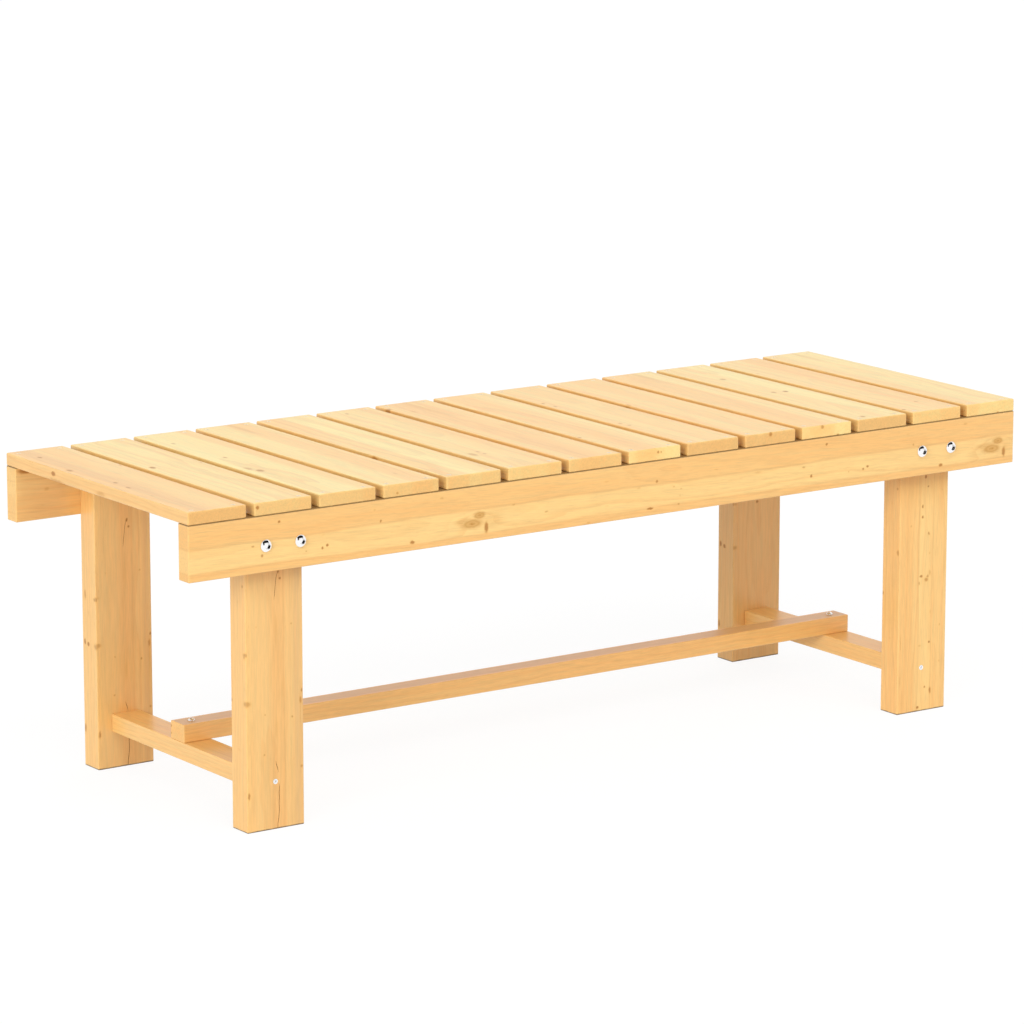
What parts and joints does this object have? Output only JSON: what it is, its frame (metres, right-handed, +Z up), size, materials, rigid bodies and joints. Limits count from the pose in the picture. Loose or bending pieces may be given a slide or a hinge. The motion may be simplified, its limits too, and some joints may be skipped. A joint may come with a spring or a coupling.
{
  "type": "garden bench",
  "caption": "Backless garden bench of pale softwood: cross slats screwed to side rails, flat bolted legs, low cross stretchers and a centre stretcher.",
  "frame": {"origin": "on the floor under the middle of the bench", "axes": "+X along the bench to its right end as seen from the front, -Y to the front, +Z up"},
  "size_m": [1.1, 0.3876, 0.356],
  "materials": {
    "slat_wood": "planed and sanded pale pine, clear and matt",
    "rail_wood": "planed pale pine, clear and matt",
    "leg_wood": "planed pale pine, clear and matt",
    "stretcher_wood": "planed pale pine, clear and matt",
    "bolt_steel": "bright zinc plate, polished",
    "insert_steel": "zinc plate, dull",
    "screw_steel": "bright zinc plate"
  },
  "bodies": {
    "root": {"slat_01": "slat_wood", "slat_02": "slat_wood", "slat_03": "slat_wood", "slat_04": "slat_wood", "slat_05": "slat_wood", "slat_06": "slat_wood", "slat_07": "slat_wood", "slat_08": "slat_wood", "slat_09": "slat_wood", "slat_10": "slat_wood", "slat_11": "slat_wood", "slat_12": "slat_wood", "slat_13": "slat_wood", "slat_14": "slat_wood", "front_rail": "rail_wood", "rear_rail": "rail_wood", "front_left_leg": "leg_wood", "front_right_leg": "leg_wood", "rear_left_leg": "leg_wood", "rear_right_leg": "leg_wood", "left_cross_stretcher": "stretcher_wood", "right_cross_stretcher": "stretcher_wood", "centre_stretcher": "stretcher_wood", "front_rail_bolts": "bolt_steel", "rear_rail_bolts": "bolt_steel", "front_insert_nuts": "insert_steel", "rear_insert_nuts": "insert_steel", "front_slat_screws": "screw_steel", "rear_slat_screws": "screw_steel", "front_leg_screws": "screw_steel", "rear_leg_screws": "screw_steel", "centre_stretcher_screws": "screw_steel"}
  },
  "joints": []
}
